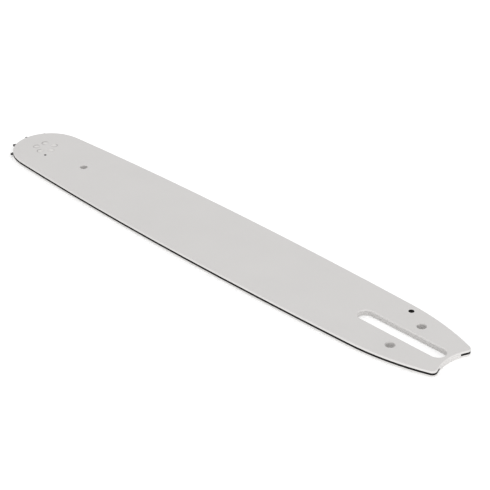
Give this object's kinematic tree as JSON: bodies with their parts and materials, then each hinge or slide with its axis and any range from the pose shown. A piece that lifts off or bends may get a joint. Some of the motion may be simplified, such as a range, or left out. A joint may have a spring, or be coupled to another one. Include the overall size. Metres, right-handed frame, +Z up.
{
  "type": "chainsaw guide bar",
  "caption": "Flat laminated guide bar with a chain groove round its edge, a slotted tail that clamps to a saw, and a toothed sprocket turning on rollers at its rounded nose.",
  "frame": {"origin": "on the underside of the bar as it lies flat, midway along it, on its long axis", "axes": "+X along the bar to its slotted tail, -X to the sprocket nose, +Y across it, +Z up through its thickness"},
  "size_m": [0.4416, 0.0686, 0.0045],
  "materials": {
    "plate_paint": "pale grey satin paint with softened edges",
    "core_steel": "dark oiled steel on the groove floor",
    "sprocket_steel": "hardened steel with a dark oxide",
    "bearing_steel": "ground and greased"
  },
  "bodies": {
    "bar": {"upper_side_plate": "plate_paint", "lower_side_plate": "plate_paint", "core_plate": "core_steel", "bearing_inner_race": "bearing_steel", "nose_rivets": "plate_paint"},
    "sprocket": {"nose_sprocket": "sprocket_steel"},
    "rollers": {"bearing_roller_01": "bearing_steel", "bearing_roller_02": "bearing_steel", "bearing_roller_03": "bearing_steel", "bearing_roller_04": "bearing_steel", "bearing_roller_05": "bearing_steel", "bearing_roller_06": "bearing_steel", "bearing_roller_07": "bearing_steel", "bearing_roller_08": "bearing_steel", "bearing_roller_09": "bearing_steel", "bearing_roller_10": "bearing_steel", "bearing_roller_11": "bearing_steel", "bearing_roller_12": "bearing_steel", "bearing_roller_13": "bearing_steel", "bearing_roller_14": "bearing_steel", "bearing_roller_15": "bearing_steel", "bearing_roller_16": "bearing_steel", "bearing_roller_17": "bearing_steel", "bearing_roller_18": "bearing_steel", "bearing_roller_19": "bearing_steel", "bearing_roller_20": "bearing_steel", "bearing_roller_21": "bearing_steel", "bearing_roller_22": "bearing_steel", "bearing_roller_23": "bearing_steel", "bearing_roller_24": "bearing_steel"}
  },
  "joints": [
    {"name": "sprocket_spin", "type": "hinge", "parent": "bar", "child": "sprocket", "pos_m": [-0.19302, 0, 0.00225], "axis": [0, 0, 1], "continuous": true},
    {"name": "roller_orbit", "type": "hinge", "parent": "bar", "child": "rollers", "pos_m": [-0.19302, 0, 0.00225], "axis": [0, 0, 1], "continuous": true}
  ],
  "couplings": [
    {"joint": "roller_orbit", "follows": "sprocket_spin", "ratio": 0.5657}
  ]
}
